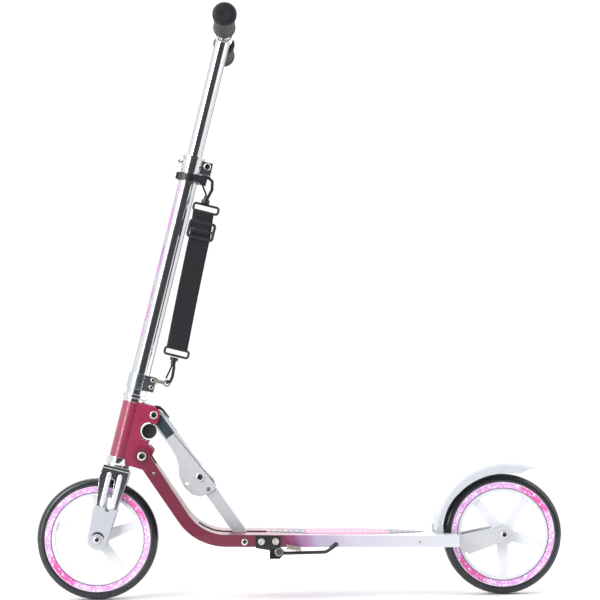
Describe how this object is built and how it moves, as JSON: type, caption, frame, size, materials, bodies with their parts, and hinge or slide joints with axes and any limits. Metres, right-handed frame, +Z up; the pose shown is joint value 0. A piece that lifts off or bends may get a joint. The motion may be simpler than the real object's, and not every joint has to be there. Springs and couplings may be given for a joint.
{
  "type": "kick scooter",
  "caption": "Folding kick scooter with large wheels, sliding handlebar stem, carrying strap, side stand and foot brake fender.",
  "frame": {"origin": "on the ground, midway between the wheel axles, in the plane of the wheels", "axes": "+X to the rear, -X is the riding direction, +Y to the rider's right, +Z up"},
  "size_m": [0.897, 0.36, 0.9844],
  "materials": {
    "frame_spar": "burgundy gloss paint",
    "deck": "pearl paint fading rearwards",
    "grip_tape": "gritty",
    "dropout_left": "satin",
    "dropout_right": "satin",
    "rear_axle": "plated",
    "fold_bolt": "plated",
    "strut_foot_bolts": "plated",
    "kick_bracket": "black",
    "kick_bolts": "plated",
    "fender_pin": "plated",
    "head_tube": "burgundy gloss paint",
    "cup_lower": "polished",
    "cup_upper": "polished",
    "strut_head_bolt": "plated",
    "fork_crown": "polished",
    "fork_leg_left": "polished above, satin below",
    "fork_leg_right": "polished above, satin below",
    "front_axle": "plated",
    "headset_nuts": "polished",
    "outer_tube": "polished",
    "lower_collar": "blue-grey",
    "collar_bolts": "plated",
    "eyelet_tab": "dull",
    "height_clamp": "black",
    "clamp_bolt": "plated",
    "strap_collar": "moulded",
    "hook_upper": "moulded",
    "gate_upper": "moulded",
    "ring_upper": "moulded",
    "slider": "moulded",
    "webbing": "woven",
    "ring_lower": "moulded",
    "hook_lower": "moulded",
    "gate_lower": "moulded",
    "stem_tube": "polished",
    "handlebar": "polished",
    "grip_left": "ribbed",
    "grip_right": "ribbed",
    "snap_button": "plated",
    "clamp_lever": "moulded",
    "strut_upper": "satin",
    "strut_sleeve": "blue-grey",
    "knee_bolt": "plated",
    "strut_lower": "satin",
    "detent_pin": "plated",
    "release_lever": "moulded",
    "latch_pad": "moulded",
    "kick_leg": "black",
    "kick_spring": "dark",
    "kick_pivot": "plated",
    "fender": "moulded",
    "front_tyre": "cast polyurethane",
    "front_ring": "printed",
    "front_rim": "milky",
    "front_hub": "plated",
    "rear_tyre": "cast polyurethane",
    "rear_ring": "printed",
    "rear_rim": "milky",
    "rear_hub": "plated"
  },
  "bodies": {
    "frame": {"frame_spar": "frame_spar", "deck": "deck", "grip_tape": "grip_tape", "dropout_left": "dropout_left", "dropout_right": "dropout_right", "rear_axle": "rear_axle", "fold_bolt": "fold_bolt", "strut_foot_bolts": "strut_foot_bolts", "kick_bracket": "kick_bracket", "kick_bolts": "kick_bolts", "fender_pin": "fender_pin"},
    "head": {"head_tube": "head_tube", "cup_lower": "cup_lower", "cup_upper": "cup_upper", "strut_head_bolt": "strut_head_bolt"},
    "steering": {"fork_crown": "fork_crown", "fork_leg_left": "fork_leg_left", "fork_leg_right": "fork_leg_right", "front_axle": "front_axle", "headset_nuts": "headset_nuts", "outer_tube": "outer_tube", "lower_collar": "lower_collar", "collar_bolts": "collar_bolts", "eyelet_tab": "eyelet_tab", "height_clamp": "height_clamp", "clamp_bolt": "clamp_bolt", "strap_collar": "strap_collar", "hook_upper": "hook_upper", "gate_upper": "gate_upper", "ring_upper": "ring_upper", "slider": "slider", "webbing": "webbing", "ring_lower": "ring_lower", "hook_lower": "hook_lower", "gate_lower": "gate_lower"},
    "stem": {"stem_tube": "stem_tube", "handlebar": "handlebar", "grip_left": "grip_left", "grip_right": "grip_right"},
    "button": {"snap_button": "snap_button"},
    "lever": {"clamp_lever": "clamp_lever"},
    "upper_strut": {"strut_upper": "strut_upper", "strut_sleeve": "strut_sleeve", "knee_bolt": "knee_bolt"},
    "lower_strut": {"strut_lower": "strut_lower", "detent_pin": "detent_pin"},
    "release": {"release_lever": "release_lever", "latch_pad": "latch_pad"},
    "stand": {"kick_leg": "kick_leg", "kick_spring": "kick_spring", "kick_pivot": "kick_pivot"},
    "rear_fender": {"fender": "fender"},
    "front_wheel": {"front_tyre": "front_tyre", "front_ring": "front_ring", "front_rim": "front_rim", "front_hub": "front_hub"},
    "rear_wheel": {"rear_tyre": "rear_tyre", "rear_ring": "rear_ring", "rear_rim": "rear_rim", "rear_hub": "rear_hub"}
  },
  "joints": [
    {"name": "fold", "type": "hinge", "parent": "frame", "child": "head", "pos_m": [-0.27029, 0, 0.24248], "axis": [0, 1, 0], "range_deg": [0, 78]},
    {"name": "strut_head", "type": "hinge", "parent": "head", "child": "upper_strut", "pos_m": [-0.25032, 0, 0.3114], "axis": [0, 1, 0], "range_deg": [-126.6, 0.1]},
    {"name": "strut_knee", "type": "hinge", "parent": "upper_strut", "child": "lower_strut", "pos_m": [-0.1725, 0, 0.2051], "axis": [0, 1, 0], "range_deg": [-0.1, 97.4]},
    {"name": "release_press", "type": "hinge", "parent": "upper_strut", "child": "release", "pos_m": [-0.25032, 0, 0.3114], "axis": [0, 1, 0], "range_deg": [0, 10], "stiffness_Nm_per_rad": 0.6, "springref_deg": -17.19},
    {"name": "steer", "type": "hinge", "parent": "head", "child": "steering", "pos_m": [-0.30853, 0, 0.23996], "axis": [0.2419, 0, 0.9703], "continuous": true},
    {"name": "bar_height", "type": "slide", "parent": "steering", "child": "stem", "axis": [0.2419, 0, 0.9703], "range_m": [-0.19, 0]},
    {"name": "button_press", "type": "slide", "parent": "steering", "child": "button", "axis": [0.9703, 0, -0.2419], "range_m": [0, 0.004], "stiffness_N_per_m": 300, "springref_m": -0.003},
    {"name": "clamp_open", "type": "hinge", "parent": "steering", "child": "lever", "pos_m": [-0.15811, 0.0206, 0.7362], "axis": [-0.2419, 0, -0.9703], "range_deg": [0, 140]},
    {"name": "front_spin", "type": "hinge", "parent": "steering", "child": "front_wheel", "pos_m": [-0.346, 0, 0.1025], "axis": [0, 1, 0], "continuous": true},
    {"name": "rear_spin", "type": "hinge", "parent": "frame", "child": "rear_wheel", "pos_m": [0.346, 0, 0.1025], "axis": [0, 1, 0], "continuous": true},
    {"name": "brake", "type": "hinge", "parent": "frame", "child": "rear_fender", "pos_m": [0.23483, 0, 0.11615], "axis": [0, 1, 0], "range_deg": [0, 4.5], "stiffness_Nm_per_rad": 6, "springref_deg": -6.88},
    {"name": "stand_swing", "type": "hinge", "parent": "frame", "child": "stand", "pos_m": [-0.0413, -0.062, 0.08098], "axis": [0, 0.9781, -0.2079], "range_deg": [0, 128]}
  ],
  "couplings": [
    {"joint": "strut_head", "follows": "fold", "ratio": -1.6216},
    {"joint": "strut_knee", "follows": "fold", "ratio": 1.2477}
  ]
}
